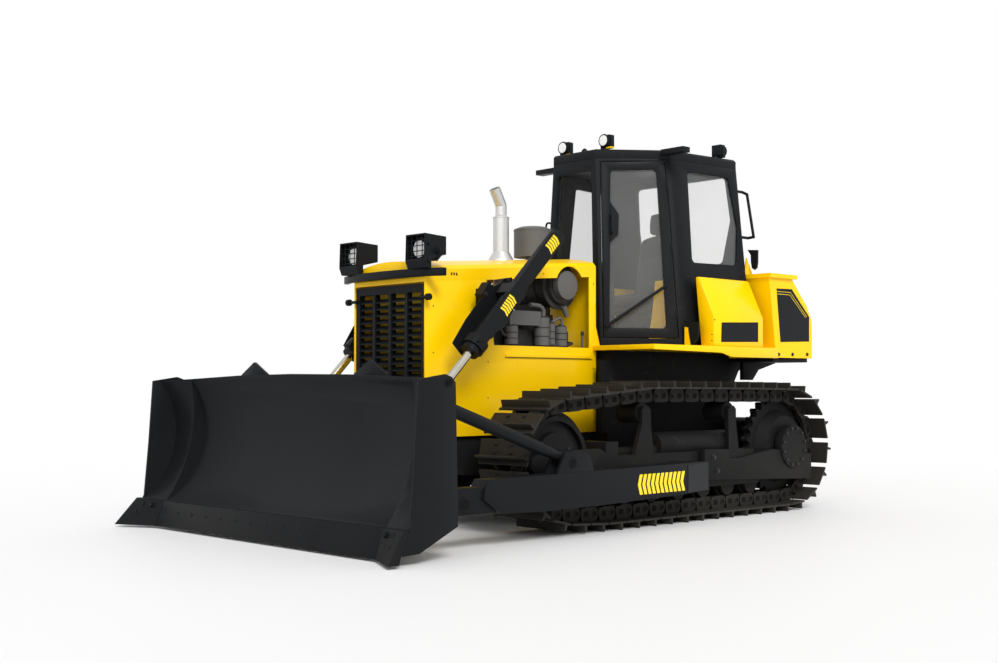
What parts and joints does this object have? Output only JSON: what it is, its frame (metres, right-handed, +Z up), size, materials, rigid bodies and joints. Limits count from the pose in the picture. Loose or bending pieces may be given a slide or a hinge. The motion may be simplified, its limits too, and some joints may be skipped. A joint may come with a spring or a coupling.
{
  "type": "crawler bulldozer",
  "caption": "Crawler bulldozer with a semi-U blade on push arms, lift cylinders, open-sided engine hood, closed six-sided cab and rear fuel tank.",
  "frame": {"origin": "middle of the overall length and width, on the ground under the grousers", "axes": "+X forward, towards the blade; +Y to the driver's left; +Z up"},
  "size_m": [5.608, 3.41, 3.299],
  "materials": {
    "yellow_paint": "gloss",
    "black_paint": "satin",
    "grey_paint": "satin",
    "worn_steel": "satin",
    "chromed_rod": "polished",
    "exhaust_metal": "satin",
    "window_glass": "clear",
    "seat_fabric": "matte",
    "cab_plastic": "matte"
  },
  "bodies": {
    "chassis": {"track_left": "worn_steel", "track_right": "worn_steel", "sprockets": "worn_steel", "final_drives": "black_paint", "idlers": "black_paint", "track_frames": "black_paint", "track_rollers": "black_paint", "carrier_rollers": "black_paint", "hull": "black_paint", "drawbar": "black_paint", "hood_sides": "yellow_paint", "hood_top": "yellow_paint", "radiator": "yellow_paint", "grille": "black_paint", "lamp_bar": "black_paint", "head_lamps": "black_paint", "engine": "grey_paint", "engine_filters": "grey_paint", "air_cleaner": "grey_paint", "precleaner": "grey_paint", "exhaust": "exhaust_metal", "deck": "yellow_paint", "side_boxes": "yellow_paint", "fuel_tank": "yellow_paint", "cab_floor": "cab_plastic", "cab_front": "black_paint", "cab_rear": "black_paint", "cab_sides": "black_paint", "door_frames": "black_paint", "cab_glass": "window_glass", "cab_roof": "black_paint", "roof_lamps": "black_paint", "grab_rails": "black_paint", "seat": "seat_fabric", "side_consoles": "yellow_paint", "controls": "cab_plastic", "cylinder_yokes": "black_paint"},
    "blade_frame": {"moldboard": "black_paint", "cutting_edge": "worn_steel", "end_bits": "worn_steel", "push_arms": "black_paint", "braces": "black_paint"},
    "barrel_left": {"barrel_left": "black_paint"},
    "rod_left": {"rod_left": "chromed_rod"},
    "door_left": {"door_left": "black_paint", "door_glass_left": "window_glass"},
    "barrel_right": {"barrel_right": "black_paint"},
    "rod_right": {"rod_right": "chromed_rod"},
    "door_right": {"door_right": "black_paint", "door_glass_right": "window_glass"}
  },
  "joints": [
    {"name": "blade_lift", "type": "hinge", "parent": "chassis", "child": "blade_frame", "pos_m": [-0.646, 0, 0.396], "axis": [0, -1, 0], "range_deg": [-7, 18]},
    {"name": "barrel_swing_left", "type": "hinge", "parent": "chassis", "child": "barrel_left", "pos_m": [0.814, 0.72, 1.79], "axis": [0, -1, 0], "range_deg": [-8.39, 21.26]},
    {"name": "rod_slide_left", "type": "slide", "parent": "barrel_left", "child": "rod_left", "axis": [0.7051, 0, -0.7091], "range_m": [-0.6188, 0.2425]},
    {"name": "door_swing_left", "type": "hinge", "parent": "chassis", "child": "door_left", "pos_m": [-1.13539, 0.76016, 1.514], "axis": [0.0122, -0.0828, 0.9965], "range_deg": [0, 85]},
    {"name": "barrel_swing_right", "type": "hinge", "parent": "chassis", "child": "barrel_right", "pos_m": [0.814, -0.72, 1.79], "axis": [0, -1, 0], "range_deg": [-8.39, 21.26]},
    {"name": "rod_slide_right", "type": "slide", "parent": "barrel_right", "child": "rod_right", "axis": [0.7051, 0, -0.7091], "range_m": [-0.6188, 0.2425]},
    {"name": "door_swing_right", "type": "hinge", "parent": "chassis", "child": "door_right", "pos_m": [-1.13539, -0.76016, 1.514], "axis": [-0.0122, -0.0828, -0.9965], "range_deg": [0, 85]}
  ],
  "couplings": [
    {"joint": "barrel_swing_left", "follows": "blade_lift", "ratio": 1.17},
    {"joint": "rod_slide_left", "follows": "blade_lift", "m_per_rad": -1.96},
    {"joint": "barrel_swing_right", "follows": "blade_lift", "ratio": 1.17},
    {"joint": "rod_slide_right", "follows": "blade_lift", "m_per_rad": -1.96}
  ]
}
